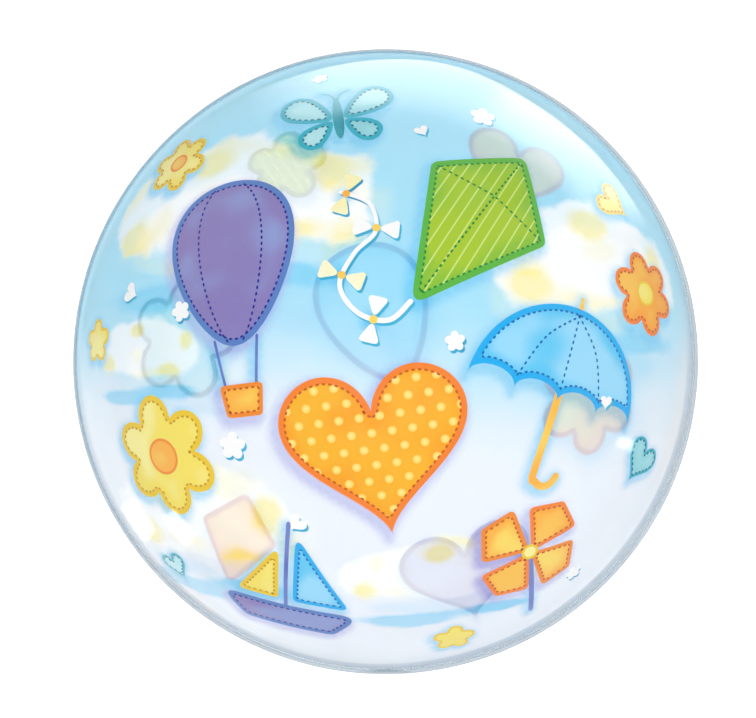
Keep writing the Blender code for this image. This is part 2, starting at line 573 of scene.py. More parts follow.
def cloud_parts(clouds):
    """Round puffs, warm tints and the blue streaks below, as (x, y, half width, half height)."""
    puffs, warm, streaks = [], [], []
    for x, y, wide, tall in clouds:
        for index in range(7):
            share = index / 3 - 1
            radius = tall * (0.72 + 0.20 * math.sin(2.4 * index + 90 * x))
            puffs.append((x + wide * 0.78 * share, y + tall * 0.42 * (1 - share ** 2), radius, radius))
        puffs.append((x, y - tall * 0.1, wide * 0.8, tall * 0.7))
        warm += [(x - wide * 0.72, y - tall * 0.30, tall * 0.50, tall * 0.45),
                 (x - wide * 0.08, y + tall * 0.62, tall * 0.52, tall * 0.34),
                 (x + wide * 0.52, y - tall * 0.50, tall * 0.60, tall * 0.32),
                 (x + wide * 0.80, y + tall * 0.30, tall * 0.34, tall * 0.42)]
        streaks += [(x - wide * 0.35, y - tall * 1.20, wide * 0.80, tall * 0.30),
                    (x + wide * 0.50, y - tall * 1.00, wide * 0.65, tall * 0.26)]
    return puffs, warm, streaks


def soft_blobs(points, blobs):
    """How much of soft round blobs covers each point, from 0 to 1."""
    left = np.ones(len(points))
    for x, y, wide, tall in blobs:
        gap = np.hypot((points[:, 0] - x) / wide, (points[:, 1] - y) / tall)
        left *= 1 - np.clip(1.25 - gap, 0, 1) ** 1.5
    return 1 - left


def nearest(points, targets):
    """Distance from each point to the nearest target."""
    tree = KDTree(len(targets))
    for index, (x, y) in enumerate(targets):
        tree.insert((x, y, 0), index)
    tree.balance()
    return np.array([tree.find((x, y, 0))[2] for x, y in points])


def lattice(edge, step, keep_clear):
    """Evenly spread points inside the print's edge and clear of its outlines."""
    rows = int(edge / (step * LATTICE_ROW)) + 1
    count = int(edge / step) + 1
    across, up = np.meshgrid(np.arange(-count, count + 1), np.arange(-rows, rows + 1))
    x = (across + 0.5 * (up % 2)) * step
    points = np.column_stack([x.ravel(), (up * step * LATTICE_ROW).ravel()])

    # Points closer than this to the print's edge or to an outline would make thin slivers
    points = points[np.hypot(*points.T) < edge - step * 0.7]
    return points[nearest(points, keep_clear) > step * 0.35]


def printed_side(patches, edge, step):
    """The flat print as triangles: (points, triangles, ink number of each triangle, names of the inks)."""
    loops, inks = [disc(edge, ROUND_STEPS)], ["ground"]
    for patch in patches:
        loops.append(patch.outline)
        inks.append(patch.ink + "_edge" if patch.body is not None else patch.ink)
        if patch.body is not None:
            loops.append(patch.body)
            inks.append(patch.ink)
    points, faces = [], []
    for loop in loops:
        faces.append(list(range(len(points), len(points) + len(loop))))
        points += [tuple(p) for p in loop]
    keep_clear = np.array(points)
    points += [tuple(p) for p in lattice(edge, step, keep_clear)]
    flat, _, triangles, _, _, found = delaunay_2d_cdt([Vector(p) for p in points], [], faces, 1, 1e-7)
    names = sorted(set(inks))
    worn = [names.index(inks[max(loops_round_it)]) for loops_round_it in found]
    return np.array([tuple(p) for p in flat]), triangles, worn, names


def side_marks(flat, patches, side):
    """Soft values at each point of a side: clouds, warm tints, streaks, shadows and depth inside a patch."""
    # The clouds behind lie under those in front, so that they stay white where light comes through
    puffs, warm, streaks = cloud_parts([(side * x, y, wide, tall) for x, y, wide, tall in CLOUDS])
    marks = {"cloud": soft_blobs(flat, puffs), "glow": soft_blobs(flat, warm),
             "streak": soft_blobs(flat, streaks)}
    for tint in ("violet", "cyan"):
        shadow = np.zeros(len(flat))
        chosen = [p for p in patches if p.shaded == tint and p.ink not in ("cast", "white", "bow")]
        if chosen:
            # The shadows of small patches, whose edging is narrow, lie closer to them
            moved = [p.outline + np.array(SHADOW_SHIFT) * (0.6 if p.edging < 0.7 else 1) for p in chosen]
            shadow = np.exp(-(nearest(flat, np.concatenate(moved)) / SHADOW_REACH) ** 2)
            for outline in moved:
                shadow[inside(flat, outline)] = 1
        marks[tint + "_shade"] = shadow
    bodies = [p.body for p in patches if p.body is not None]
    marks["depth"] = np.clip(nearest(flat, np.concatenate(bodies)) / SOFT_REACH, 0, 1)
    return marks


# Materials


class Tree:
    """A node tree, with short calls to add and join nodes. family starts the names of its nodes."""

    family = "ShaderNode"

    def __init__(self, tree):
        self.tree = tree

    def put(self, node, inputs):
        """Joins sockets to a node's inputs, or sets their values."""
        for name, value in dict(inputs).items():
            if isinstance(value, bpy.types.NodeSocket):
                self.tree.links.new(value, node.inputs[name])
            else:
                node.inputs[name].default_value = value
        return node

    def add(self, kind, inputs=(), out=0, family=None, **values):
        """Adds a node, and gives the output that out names or counts."""
        node = self.tree.nodes.new((family or self.family) + kind)
        for name, value in values.items():
            setattr(node, name, value)
        return self.put(node, inputs).outputs[out]

    def math(self, operation, a, b=0.0):
        return self.add("Math", {0: a, 1: b}, family="ShaderNode", operation=operation)

    def plus(self, a, b):
        return self.math("ADD", a, b)

    def times(self, a, b):
        return self.math("MULTIPLY", a, b)

    def parts(self, vector):
        """The X, Y and Z of a vector."""
        return self.add("SeparateXYZ", {0: vector}, family="ShaderNode").node.outputs

    def ranged(self, value, low, high, to_low=0.0, to_high=1.0, kind="SMOOTHSTEP"):
        """An eased change from to_low to to_high, as the value goes from low to high."""
        return self.add("MapRange", {"Value": value, "From Min": low, "From Max": high, "To Min": to_low,
                                     "To Max": to_high}, interpolation_type=kind)

    def linear(self, *limits):
        return self.ranged(*limits, kind="LINEAR")


class Recipe(Tree):
    """A material and its node tree."""

    def __init__(self, name):
        self.material = bpy.data.materials.new(name)
        self.material.use_nodes = True
        super().__init__(self.material.node_tree)
        self.shader = self.tree.nodes["Principled BSDF"]

    def place(self):
        """Where the point lies on its piece."""
        return self.add("TexCoord", out="Object")

    def noise(self, scale, detail=2.0):
        return self.add("TexNoise", {"Vector": self.place(), "Scale": scale, "Detail": detail}, "Fac")

    def mark(self, name):
        """A soft value that the mesh carries."""
        return self.add("Attribute", out="Fac", attribute_name=name)

    def blend(self, share, a, b):
        """Colour a with a share of colour b over it."""
        a, b = (t if isinstance(t, bpy.types.NodeSocket) else (*tuple(t)[:3], 1.0) for t in (a, b))
        return self.add("Mix", {0: share, 6: a, 7: b}, 2, data_type="RGBA")

    def bump(self, height, strength, distance):
        return self.add("Bump", {"Height": height, "Strength": strength, "Distance": distance})

    def film(self, tone, cover, roughness=0.07, specular=0.5):
        """Film of this colour. All film shares faint waves, and a gloss that varies a little."""
        gloss = self.ranged(self.noise(40.0), 0.3, 0.7, roughness * 0.8, roughness * 1.3)
        self.put(self.shader, {"Base Color": tone, "Alpha": cover, "IOR": FILM_IOR, "Roughness": gloss,
                               "Specular IOR Level": specular,
                               "Normal": self.bump(self.noise(9.0, 1.0), 0.25, 0.004)})
        return self.material

    def glow(self, tone, strength, added=False):
        """Light of this colour. added lays it over what lies behind."""
        light = self.add("Emission", {"Color": tone, "Strength": strength})
        if added:
            light = self.add("AddShader", {0: light, 1: self.add("BsdfTransparent")})
        self.put(self.tree.nodes["Material Output"], {"Surface": light})
        return self.material


def ground_ink(name, cover):
    """Pale sky that fades to white haze, with soft clouds, warm tints, the patches' soft shadows and a
    painted grey-blue shade near the seam.
    """
    inks = bpy.context.scene.balloon_inks
    mix = Recipe(name)
    place = mix.parts(mix.place())
    wander = mix.plus(place["Y"], mix.linear(mix.noise(5.0, 3.0), 0.25, 0.75, -0.05, 0.05))
    hazy = mix.ranged(wander, 0.05, -0.09)
    tone = mix.blend(hazy, inks.sky, inks.haze)
    fluff = mix.linear(mix.noise(22.0, 4.0), 0.3, 0.7, -0.20, 0.20)
    streak = mix.ranged(mix.plus(mix.mark("streak"), fluff), 0.25, 0.75, 0.0, 0.85)
    tone = mix.blend(streak, tone, inks.streak)
    cloud = mix.ranged(mix.plus(mix.mark("cloud"), fluff), 0.33, 0.62)
    tone = mix.blend(cloud, tone, inks.billow)

    # Warm tints: broken ones round the clouds' fringes, and soft ones in places of their own
    fringe = mix.times(cloud, mix.ranged(mix.mark("cloud"), 1.0, 0.6))
    broken = mix.ranged(mix.noise(11.0, 1.0), 0.50, 0.62, 0.0, 0.55)
    tone = mix.blend(mix.times(fringe, broken), tone, inks.glow)
    warm = mix.ranged(mix.plus(mix.mark("glow"), fluff), 0.22, 0.85)
    tone = mix.blend(mix.times(warm, mix.linear(cloud, 0.0, 1.0, 0.25, 0.9)), tone, inks.glow)

    for tint, most in (("cyan_shade", 0.80), ("violet_shade", 0.75)):
        tone = mix.blend(mix.linear(mix.mark(tint), 0.0, 1.0, 0.0, most), tone, getattr(inks, tint))
    # Painted shade: near the seam the lower sky turns grey-blue, standing in for the darker look of the
    # film's slanting rim
    from_seam = mix.math("ABSOLUTE", mix.math("SUBTRACT", place["Z"], ball_centre().z))
    start, end = (ball_radius() * math.cos(angle) for angle in (RIM_SHADE_START, RIM_SHADE_END))
    tone = mix.blend(mix.times(mix.ranged(from_seam, start, end), hazy), tone, inks.rim_shade)
    return mix.film(tone, cover)


# Each ink: its deeper tone, its paler tone, its edging and its thread
INKS = {
    "violet": ("8A7CBC", "8E9DD6", "587FC6", "262E98"),
    "orange": ("FCA60E", "FBB61A", "F98320", "CC5C18"),
    "orange_plain": ("FFA620", "FFC444", "FA8422", "CC5C18"),
    "sky_blue": ("5CCBF8", "9ADEFF", "0CB0F4", "0C74C0"),
    "lime": ("8CC42C", "AACC1E", "5CB83A", "13903A"),
    "teal": ("92D8E2", "B6EAF0", "22B0C6", "0E7A94"),
    "yellow": ("FBE65C", "FFF59A", "F2CC14", "D09A10"),
    "amber": ("FFB43A", "FFDC5E", "F58C22", "CC5C18"),
    "white": ("FFFFFF", "FFFFFF", "9BDDF7", "9BDDF7"),
    "bow": ("FFF7B8", "FFFDE0", "F2CC14", "C08E0C"),
    "cast": ("1C93BC", "3FB4DA", "1C93BC", "1C93BC"),
    "rope": ("5566BC", "7282CC", "5566BC", "1B2768"),
    "teal_deep": ("128C9C", "2FA8B6", "128C9C", "0B6678"),
}


def flat_place(mix, degrees, shift=(0, 0, 0)):
    """Where the point lies on the flat print, with the print turned and moved."""
    return mix.add("Mapping", {"Vector": mix.add("UVMap", uv_map="print"), "Location": shift,
                               "Rotation": (0, 0, math.radians(degrees))})


def pinstripes(mix, tone):
    """Thin pale stripes down the patch."""
    across = mix.parts(flat_place(mix, 32))["X"]
    pitch = bpy.context.scene.balloon_print.stripe_pitch
    wave = mix.math("SINE", mix.times(across, math.tau / pitch))
    return mix.blend(mix.ranged(wave, 0.84, 0.98, 0.0, 0.8), tone, shade("DDF08C"))


def polka_dots(mix, tone):
    """Staggered rows of pale dots, each a little paler in its middle."""
    sizes = bpy.context.scene.balloon_print
    half = (sizes.dot_pitch / 2, sizes.dot_rows, 1.0)
    gaps = []
    for shift in ((0, 0, 0), half):
        lap = mix.add("VectorMath", {0: flat_place(mix, -8, shift), 1: half, 2: [-v for v in half]},
                      operation="WRAP")
        flat = mix.add("VectorMath", {0: lap, 1: (1, 1, 0)}, operation="MULTIPLY")
        gaps.append(mix.add("VectorMath", {0: flat}, "Value", operation="LENGTH"))
    gap = mix.math("MINIMUM", *gaps)
    dot = mix.ranged(gap, sizes.dot_radius * 1.08, sizes.dot_radius * 0.85)
    pale = mix.blend(mix.ranged(gap, sizes.dot_radius, 0.0), shade("FFD75C"), shade("FFE78E"))
    return mix.blend(dot, tone, pale)


PATTERNS = {"lime": pinstripes, "orange": polka_dots}


def patch_ink(name, deep, pale, cover, pattern=None):
    """Ink of a patch: deeper beside its edging, with soft paler drifts inside and faint print grain."""
    mix = Recipe(name)
    drift = mix.linear(mix.noise(15.0, 1.0), 0.30, 0.70, -0.7, 0.7)
    body = mix.ranged(mix.plus(mix.times(mix.mark("depth"), 0.5), drift), -0.15, 0.75)
    tone = mix.blend(body, shade(deep), shade(pale))
    if pattern:
        tone = pattern(mix, tone)
    grain = mix.linear(mix.noise(900.0, 1.0), 0.3, 0.7, 0.0, 0.02)
    return mix.film(mix.blend(grain, tone, WHITE), cover)


def side_ink(ink, suffix, cover):
    """The material of one ink on one side; the suffix is empty for the front."""
    if ink == "ground":
        return ground_ink("printed_sky" + suffix, GROUND_COVER)
    deep, pale, edge, thread = INKS[ink.removesuffix("_edge")]
    if ink.endswith("_edge"):
        # Behind, a deeper edging shows through the pale front
        deep = pale = thread if suffix else edge
    return patch_ink(ink + suffix, deep, pale, cover, PATTERNS.get(ink))


def clear_film(name, cover, roughness=0.05):
    mix = Recipe(name)
    tint = mix.linear(mix.noise(14.0), 0.3, 0.7, 0.0, 0.35)
    tone = mix.blend(tint, bpy.context.scene.balloon_inks.clear, shade("D3E4EE"))
    return mix.film(tone, cover, roughness, specular=1.0)


def tail_film():
    """Clear film with whitish weld lines down both edges and down the valve's channel."""
    scene = bpy.context.scene
    half = scene.balloon_film.tail_width / 2
    mix = Recipe("tail_film")
    out = mix.math("ABSOLUTE", mix.parts(mix.place())["X"])
    edge = mix.ranged(out, half - EDGE_WELD, half - EDGE_WELD + 0.0005)
    from_channel = mix.math("ABSOLUTE", mix.math("SUBTRACT", out, CHANNEL_PLACE))
    weld = mix.math("MAXIMUM", edge, mix.ranged(from_channel, CHANNEL_WELD, CHANNEL_WELD - 0.0004))
    knurl = mix.add("TexWave", {"Vector": mix.place(), "Scale": 500.0}, "Fac", bands_direction="Z")
    tone = mix.blend(mix.ranged(weld, 0, 1, 0.1, 0.9), scene.balloon_inks.clear, shade("F4F9FC"))
    mix.film(tone, TAIL_COVER, 0.08, specular=1.0)
    mix.put(mix.shader, {"Normal": mix.bump(mix.times(weld, knurl), 0.4, 0.0002)})
    return mix.material


# Making pieces


def new_object(name, data):
    thing = bpy.data.objects.new(name, data)
    bpy.context.scene.collection.objects.link(thing)
    return thing


def finish(name, mesh):
    """A piece of the balloon: it rides on the balloon's one body and stands for its solid."""
    piece = new_object(name, mesh)
    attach(piece, "root")
    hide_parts("balloon")
    return piece


def made_mesh(work, name, materials=()):
    """The finished work as a plain mesh in its materials."""
    mesh = bpy.data.meshes.new(name)
    work.to_mesh(mesh)
    work.free()
    for material in materials:
        mesh.materials.append(material)
    return mesh


def skin(work, rows, closed=False, material_number=0):
    """Faces between rows of points. In closed rows the last point joins the first."""
    rows = [[work.verts.new(point) for point in row] for row in rows]
    for inner, outer in zip(rows, rows[1:]):
        for index in range(len(inner) if closed else len(inner) - 1):
            after = (index + 1) % len(inner)
            face = work.faces.new([inner[index], outer[index], outer[after], inner[after]])
            face.material_index = material_number


def pucker(turns):
    """An uneven wave round the ball, from -1 to 1, that closes on itself."""
    total = sum(strength for _, _, strength, _ in WAVES)
    return sum(strength * np.sin(count * turns + start) for count, _, strength, start in WAVES) / total


def rim_rows(side, edge):
    """Rings of points from the print's edge to the seam."""
    film = bpy.context.scene.balloon_film
    radius = ball_radius()
    turns = round_turns(ROUND_STEPS)
    rows = []
    for row in range(RIM_ROWS + 1):
        # The rings lie closer together towards the seam
        share = 1 - (1 - row / RIM_ROWS) ** 1.6
        angle = edge + (math.pi / 2 - edge) * share
        from_seam = radius * (math.pi / 2 - angle)
        fade = math.exp(-from_seam / film.pucker_reach) * (1 - math.exp(-from_seam / film.pucker_start))
        reach = radius - film.pucker_height * fade * (0.5 + 0.5 * pucker(turns))
        out = reach * math.sin(angle)
        height = ball_centre().z + side * reach * math.cos(angle)
        rows.append(np.column_stack([side * out * np.cos(turns), out * np.sin(turns), height]))
    return rows


def true_normals(mesh):
    """The ball's own normals on the smooth part of the film; 0 leaves a normal as it is."""
    places = np.empty(len(mesh.vertices) * 3)
    mesh.vertices.foreach_get("co", places)
    out = places.reshape(-1, 3) - np.array(ball_centre())
    away = np.linalg.norm(out, axis=1)

    # Clear of the puckers beside the weld, and of the flat spot that the ball lies on
    smooth_part = (np.abs(out[:, 2]) > 0.05) & (np.abs(away - ball_radius()) < 1e-4)
    normals = np.where(smooth_part[:, None], out / away[:, None], 0.0)
    mesh.normals_split_custom_set_from_vertices([tuple(n) for n in normals])


class BALLOON_OT_film(Operator):
    """Makes the ball of film with the print on its front and back."""

    bl_idname = "balloon.film"
    bl_label = "Film and print"

    def execute(self, context):
        film = context.scene.balloon_film
        work = bmesh.new()
        print_map = work.loops.layers.uv.new("print")
        names = ("cloud", "glow", "streak", "violet_shade", "cyan_shade", "depth")
        layers = {name: work.verts.layers.float.new(name) for name in names}
        materials = []
        for side, patches, edge, step, suffix, cover in (
            (1, front_patches(), film.print_edge, SURFACE_STEP, "", FRONT_INK_COVER),
            (-1, back_patches(), film.back_print_edge, BACK_SURFACE_STEP, "_behind", BACK_INK_COVER),
        ):
            flat, triangles, worn, inks = printed_side(patches, edge * ball_radius(), step)
            start = len(materials)
            materials += [side_ink(name, suffix, cover) for name in inks]
            verts = [work.verts.new(p) for p in on_ball(flat, side)]
            for name, values in side_marks(flat, patches, side).items():
                for vert, value in zip(verts, values):
                    vert[layers[name]] = value
            for triangle, ink_number in zip(triangles, worn):
                face = work.faces.new([verts[n] for n in triangle])
                face.material_index = start + ink_number
                for loop, index in zip(face.loops, triangle):
                    loop[print_map].uv = flat[index]
            skin(work, rim_rows(side, edge), True, len(materials))
            materials.append(clear_film("clear_film" + suffix, CLEAR_COVER))
        bmesh.ops.remove_doubles(work, verts=work.verts, dist=MERGE_DISTANCE)
        bmesh.ops.recalc_face_normals(work, faces=work.faces)
        mesh = made_mesh(work, "film_ball", materials)
        mesh.shade_smooth()
        true_normals(mesh)
        finish("film_ball", mesh)
        return {"FINISHED"}


# Geometry Nodes for what repeats or follows a path


class Group(Tree):
    """A Geometry Nodes tree. Its inputs are given as lists of names, one list for each kind of socket."""

    family = "GeometryNode"

    def __init__(self, name, **inputs):
        super().__init__(bpy.data.node_groups.new(name, "GeometryNodeTree"))
        socket = self.tree.interface.new_socket
        socket(name="Geometry", in_out="OUTPUT", socket_type="NodeSocketGeometry")
        for kind, labels in {"Geometry": ["Geometry"], **inputs}.items():
            for label in labels:
                socket(name=label, in_out="INPUT", socket_type="NodeSocket" + kind)
        self.given = self.tree.nodes.new("NodeGroupInput").outputs
        self.output = self.tree.nodes.new("NodeGroupOutput")

    def end(self, geometry, material):
        real = self.add("RealizeInstances", {"Geometry": geometry})
        worn = self.add("SetMaterial", {"Geometry": real, "Material": material})
        self.put(self.output, {0: worn})
        return self.tree


def stitch_group():
    """Short stitches along a path, each flat on the ball and in line with the path."""
    group = Group("running_stitch", Vector=["Centre"], Float=["Pitch", "Length", "Width"],
                  Material=["Thread"])
    given = group.given
    path = group.add("MeshToCurve", {"Mesh": given["Geometry"]})
    spots = group.add("ResampleCurve", {"Curve": path, "Length": given["Pitch"]}, mode="LENGTH")
    stitch = group.add("MeshCircle", {"Vertices": 10, "Radius": 0.5}, fill_type="NGON")
    size = group.add("CombineXYZ", {"X": given["Length"], "Y": given["Width"], "Z": 1.0},
                     family="ShaderNode")
    away = group.add("VectorMath", {0: group.add("InputPosition"), 1: given["Centre"]},
                     family="ShaderNode", operation="SUBTRACT")
    turned = group.add("AlignRotationToVector", {"Vector": away}, family="FunctionNode", axis="Z")
    turned = group.add("AlignRotationToVector", {"Rotation": turned, "Vector": group.add("InputTangent")},
                       family="FunctionNode", axis="X", pivot_axis="Z")
    laid = group.add("InstanceOnPoints", {"Points": spots, "Instance": stitch, "Rotation": turned,
                                          "Scale": size})
    return group.end(laid, given["Thread"])


def seam_group():
    """A flat weld round the ball, which waves up and down a little."""
    group = Group("weld", Float=["Height", "Radius", "Width", "Thickness", "Ripple"], Int=["Steps"],
                  Material=["Film"])
    given = group.given
    middle = group.math("SUBTRACT", given["Radius"], group.times(given["Width"], 0.5))
    ring = group.add("CurvePrimitiveCircle", {"Resolution": given["Steps"], "Radius": middle})
    section = group.add("CurvePrimitiveQuadrilateral", {"Width": given["Width"],
                                                        "Height": given["Thickness"]})
    band = group.add("CurveToMesh", {"Curve": ring, "Profile Curve": section})
    place = group.parts(group.add("InputPosition"))
    angle = group.math("ARCTAN2", place["Y"], place["X"])
    wave = 0.0
    for count, strength, _, start in WAVES:
        swing = group.math("SINE", group.plus(group.times(angle, count), start))
        wave = group.plus(group.times(swing, strength), wave)
    rise = group.plus(group.times(wave, given["Ripple"]), given["Height"])
    lift = group.add("CombineXYZ", {"Z": rise}, family="ShaderNode")
    return group.end(group.add("SetPosition", {"Geometry": band, "Offset": lift}), given["Film"])


def grown(name, start_mesh, tree, values):
    """The plain mesh that a Geometry Nodes tree makes from a start mesh."""
    seed = new_object(name + "_start", start_mesh)
    nodes = seed.modifiers.new("grow", "NODES")
    nodes.node_group = tree
    sockets = {s.name: s.identifier for s in tree.interface.items_tree if s.in_out == "INPUT"}
    for label, value in values.items():
        nodes[sockets[label]] = value
    bpy.context.view_layer.update()
    graph = bpy.context.evaluated_depsgraph_get()
    mesh = bpy.data.meshes.new_from_object(seed.evaluated_get(graph))
    mesh.name = name
    worn = [m for m in mesh.materials if m]
    mesh.materials.clear()
    mesh.materials.append(worn[0])
    mesh.polygons.foreach_set("material_index", [0] * len(mesh.polygons))
    bpy.data.objects.remove(seed, do_unlink=True)
    return mesh


def joined(meshes, name):
    """One mesh from several, each with its own material."""
    work = bmesh.new()
    for slot, mesh in enumerate(meshes):
        start = len(work.faces)
        work.from_mesh(mesh)
        work.faces.ensure_lookup_table()
        for face in work.faces[start:]:
            face.material_index = slot
    return made_mesh(work, name, [mesh.materials[0] for mesh in meshes])


def open_runs(path, covers, closed=True):
    """The stretches of a path that no cover hides."""
    hidden = np.zeros(len(path), bool)
    for cover in covers:
        hidden |= inside(path, cover)
    if not hidden.any():
        return [np.vstack([path, path[:1]]) if closed else path]
    if closed:
        start = int(np.argmax(hidden))
        path, hidden = np.roll(path, -start, 0), np.roll(hidden, -start)
    runs = [[]]
    for point, gone in zip(path, hidden):
        if gone:
            runs.append([])
        else:
            runs[-1].append(point)
    return [np.array(run) for run in runs if len(run) > 4]


def stitch_paths(patches):
    """For each ink, the stretches of its patches' seams and lines that no later patch hides."""
    paths = {}
    for index, patch in enumerate(patches):
        covers = [later.outline for later in patches[index + 1:]]
        runs = paths.setdefault(patch.ink, [])
        if patch.seam is not None:
            runs += open_runs(even(patch.seam), covers)
        for line in patch.lines:
            runs += open_runs(even(line, closed=False), covers, closed=False)
    return {ink: runs for ink, runs in sorted(paths.items()) if runs}


def path_mesh(runs, side, lift):
    points, edges = [], []
    for run in runs:
        start = len(points)
        points += [tuple(p) for p in on_ball(run, side, lift)]
        edges += [(n, n + 1) for n in range(start, len(points) - 1)]
    mesh = bpy.data.meshes.new("stitch_path")
    mesh.from_pydata(points, edges, [])
    return mesh


class BALLOON_OT_stitches(Operator):
    """Lays a running stitch inside the edging of every patch."""

    bl_idname = "balloon.stitches"
    bl_label = "Running stitches"

    def execute(self, context):
        sizes = context.scene.balloon_print
        tree = stitch_group()
        for side, patches, suffix, name in ((1, front_patches(), "", "front_stitches"),
                                            (-1, back_patches(), "_behind", "back_stitches")):
            made = []
            for ink, runs in stitch_paths(patches).items():
                thread = INKS[ink][3]
                made.append(grown(ink, path_mesh(runs, side, sizes.ink_lift), tree, {
                    "Centre": ball_centre(), "Pitch": sizes.stitch_pitch, "Length": sizes.stitch_length,
                    "Width": sizes.stitch_width,
                    "Thread": patch_ink(f"{ink}_thread{suffix}", thread, thread, 1.0)}))
            finish(name, joined(made, name))
        return {"FINISHED"}


class BALLOON_OT_seam(Operator):
    """Makes the narrow weld round the ball."""

    bl_idname = "balloon.seam"
    bl_label = "Welded seam"

    def execute(self, context):
        film = context.scene.balloon_film
        material = clear_film("welded_film", SEAM_COVER, 0.16)
        band = grown("weld", bpy.data.meshes.new("seam_start"), seam_group(), {
            "Height": ball_centre().z, "Radius": OUTER_RADIUS, "Width": film.seam_width + SEAM_OVERLAP,
            "Thickness": film.seam_thickness, "Ripple": film.ripple_height, "Steps": ROUND_STEPS,
            "Film": material})
        work = bmesh.new()
        work.from_mesh(band)
        bmesh.ops.recalc_face_normals(work, faces=work.faces)
        finish("seam", made_mesh(work, "seam", [material]))
        return {"FINISHED"}


def tail_half_width(down, film):
    """Half the tail's width at a distance down from the seam."""
    half = film.tail_width / 2
    left = film.tail_length - down
    if down < film.tail_flare:
        return half + film.tail_flare - math.sqrt(film.tail_flare ** 2 - (film.tail_flare - down) ** 2)
    if left < TAIL_TIP:
        return half - TAIL_TIP + math.sqrt(max(TAIL_TIP ** 2 - (TAIL_TIP - left) ** 2, 0.0))
    return half


def tail_point(down, share, film):
    """A point of the tail: how far down from the seam, and its share of the way across, from -1 to 1."""
    bent = down / TAIL_BEND
    if bent < math.pi / 2:
        out, drop = TAIL_BEND * (math.sin(bent) - 1), TAIL_BEND * (1 - math.cos(bent))
    else:
        out, drop = 0.0, down + TAIL_BEND * (1 - math.pi / 2)

    # Shallow waves, which fade out towards the seam
    wave = 1 + math.sin(share * 5 + down * 170) * math.sin(down * 260 + 1)
    out -= min(down / 0.02, 1.0) * TAIL_WAVE * wave
    half = max(tail_half_width(down, film), 0.001)
    return (half * share, -(TAIL_PLANE - TAIL_GAP + out), ball_centre().z - drop)


class BALLOON_OT_tail(Operator):
    """Makes the flat filling tail, which folds down from the seam."""

    bl_idname = "balloon.tail"
    bl_label = "Filling tail"

    def execute(self, context):
        film = context.scene.balloon_film
        tip = film.tail_length - TAIL_TIP
        rows = np.concatenate([np.linspace(0, film.tail_flare, 8), np.linspace(film.tail_flare, tip, 22)[1:],
                               tip + TAIL_TIP * np.sin(np.linspace(0, math.pi / 2, 7)[1:])])
        work = bmesh.new()
        skin(work, [[tail_point(down, share, film) for share in np.linspace(-1, 1, 25)] for down in rows])
        bmesh.ops.recalc_face_normals(work, faces=work.faces)
        mesh = made_mesh(work, "tail", [tail_film()])
        wall = finish("tail", mesh).modifiers.new("wall", "SOLIDIFY")
        wall.thickness = film.tail_thickness
        wall.offset = 0
        mesh.shade_smooth()
        return {"FINISHED"}


# The stage


def plain_mesh(name, points, faces):
    mesh = bpy.data.meshes.new(name)
    mesh.from_pydata(points, [], faces)
    return new_object(name, mesh)


def gloss_only(card):
    """Part of the stage that only glossy reflections see."""
    for ray in ("camera", "diffuse", "shadow", "transmission"):
        setattr(card, "visible_" + ray, False)


def side_card(name, near, far, start, end, height_near=0.02, height_far=0.02):
    """A card that lies beside the balloon and shows only in the film's gloss.

    near and far are distances from the balloon's middle, or functions of the angle in degrees.
    """
    points = []
    for edge, height in ((near, height_near), (far, height_far)):
        for way in np.linspace(start, end, CARD_STEPS + 1):
            points.append((*polar(edge(way) if callable(edge) else edge, way), height))
    row = CARD_STEPS + 1
    card = plain_mesh(name, points, [(n, n + row, n + row + 1, n + 1) for n in range(CARD_STEPS)])
    gloss_only(card)
    return card


def floor_place(mix):
    """Where a point of a card lies: across, up and how far out from the middle."""
    x, y, _ = mix.parts(mix.place())
    return x, y, mix.math("POWER", mix.plus(mix.times(x, x), mix.times(y, y)), 0.5)


def light_card(name, near, far, start, end, strength, soft_ends, soft_far=1.0, near_share=1.0,
               near_edge=None, **heights):
    """A glowing card. It fades towards its far edge and its ends; near_share dims its near edge."""
    card = side_card(name, near_edge or near, far, start, end, **heights)
    mix = Recipe(name)
    x, y, reach = floor_place(mix)
    middle = math.radians((start + end) / 2)
    cos, sin = math.cos(middle), math.sin(middle)
    aside = mix.math("SUBTRACT", mix.times(y, cos), mix.times(x, sin))
    ahead = mix.plus(mix.times(x, cos), mix.times(y, sin))
    way = mix.math("ABSOLUTE", mix.math("ARCTAN2", aside, ahead))
    half = math.radians((end - start) / 2)
    fade = mix.times(mix.ranged(reach, far, far - (far - near) * soft_far),
                     mix.ranged(way, half, half - math.radians(soft_ends)))
    dim = mix.linear(reach, near, near + (far - near) * 0.4, near_share, 1.0)
    power = mix.times(mix.times(fade, dim), strength)
    card.data.materials.append(mix.glow(WHITE, power, added=True))


def dim_surround():
    """A dim dome and floor that only the film's gloss sees, so that the print keeps its colour."""
    work = bmesh.new()
    bmesh.ops.create_uvsphere(work, u_segments=48, v_segments=24, radius=DOME_RADIUS)
    bmesh.ops.delete(work, geom=[v for v in work.verts if v.co.z < -0.01], context="VERTS")
    mix = Recipe("gloss_dome")
    power = mix.linear(mix.parts(mix.place())["Z"], 0.0, DOME_RADIUS * 0.7, 0.40, 0.12)
    gloss_only(new_object("gloss_dome", made_mesh(work, "gloss_dome", [mix.glow(WHITE, power)])))
    ground = side_card("gloss_floor", 0.0, DOME_RADIUS, -180, 180, 0.002, 0.002)
    ground.data.materials.append(Recipe("gloss_floor").glow((0.84, 0.93, 1, 1), 0.45))


def peak(degrees):
    """Greatest just right of the top, and fading away from there."""
    return math.exp(-((degrees - 81) / 15) ** 2)


def flag_edge(degrees):
    """How far the rim's card reaches: furthest to the upper right and the upper left."""
    return 0.435 + 0.06 * max(0.0, math.sin(math.radians(degrees - 5))) ** 0.4 - 0.05 * peak(degrees)


def crescent_edge(degrees):
    """Where the big light over the ball begins: nearest just right of the top."""
    return 0.545 - 0.085 * peak(degrees)


